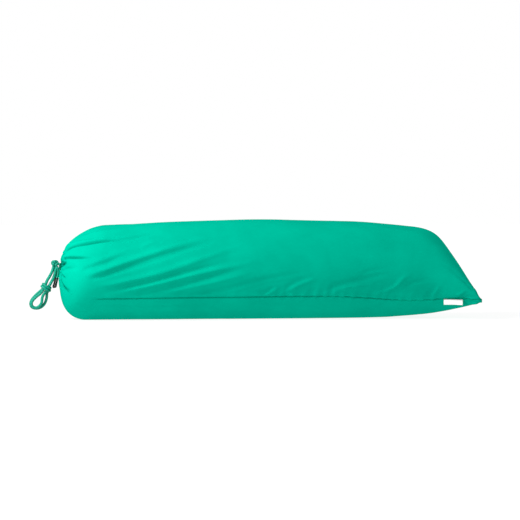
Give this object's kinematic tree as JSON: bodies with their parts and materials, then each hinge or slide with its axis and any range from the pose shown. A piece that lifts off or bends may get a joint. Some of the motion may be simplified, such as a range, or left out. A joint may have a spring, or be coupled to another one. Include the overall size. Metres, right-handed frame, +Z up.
{
  "type": "bolster pillow",
  "caption": "Long round bolster in a cotton cover, gathered by a knotted drawstring at one end and sewn flat at the other, with a small folded label in its side seam",
  "frame": {"origin": "middle of the space under the bolster, on the surface it lies on", "axes": "+X along the bolster from the gathered end to the flat-sewn end, +Z up, -Y towards the side with the seam and the label"},
  "size_m": [0.7573, 0.24, 0.1679],
  "materials": {
    "cover_green": "smooth cotton with a soft sheen",
    "cord_green": "satin braided cord",
    "thread_green": "sewing thread",
    "label_white": "woven ribbon",
    "tip_black": "glossy moulded plastic",
    "calico": "plain unbleached cotton",
    "wadding": "soft cotton wadding",
    "core_cotton": "firm cotton filling"
  },
  "bodies": {
    "bolster": {"cover_panel": "cover_green", "drawstring_channel": "cover_green", "channel_stitch_thread": "thread_green", "side_seam_thread": "thread_green", "end_seam_thread": "thread_green", "inner_case_barrel": "calico", "inner_case_end_left": "calico", "inner_case_end_right": "calico", "inner_case_seam_left": "calico", "inner_case_seam_right": "calico", "filling_wrap": "wadding", "filling_core": "core_cotton", "drawstring_in_channel": "cord_green"},
    "label": {"woven_label": "label_white"},
    "tie_top": {"gather_knot": "cord_green"},
    "tie": {"bow_loop_front": "cord_green", "bow_loop_back": "cord_green", "loop_knot": "cord_green", "cord_end_front": "cord_green", "cord_end_back": "cord_green", "cord_tip_front": "tip_black", "cord_tip_back": "tip_black"}
  },
  "joints": [
    {"name": "label_flap", "type": "hinge", "parent": "bolster", "child": "label", "pos_m": [0.31125, -0.08906, 0.03311], "axis": [-0.8687, 0.4953, 0.0091], "range_deg": [-20, 140]},
    {"name": "tie_side_swing", "type": "hinge", "parent": "bolster", "child": "tie_top", "pos_m": [-0.3605, -0.003, 0.094], "axis": [1, 0, 0], "range_deg": [-40, 40]},
    {"name": "tie_lift", "type": "hinge", "parent": "tie_top", "child": "tie", "pos_m": [-0.3605, -0.003, 0.094], "axis": [0, 1, 0], "range_deg": [0, 100]}
  ]
}
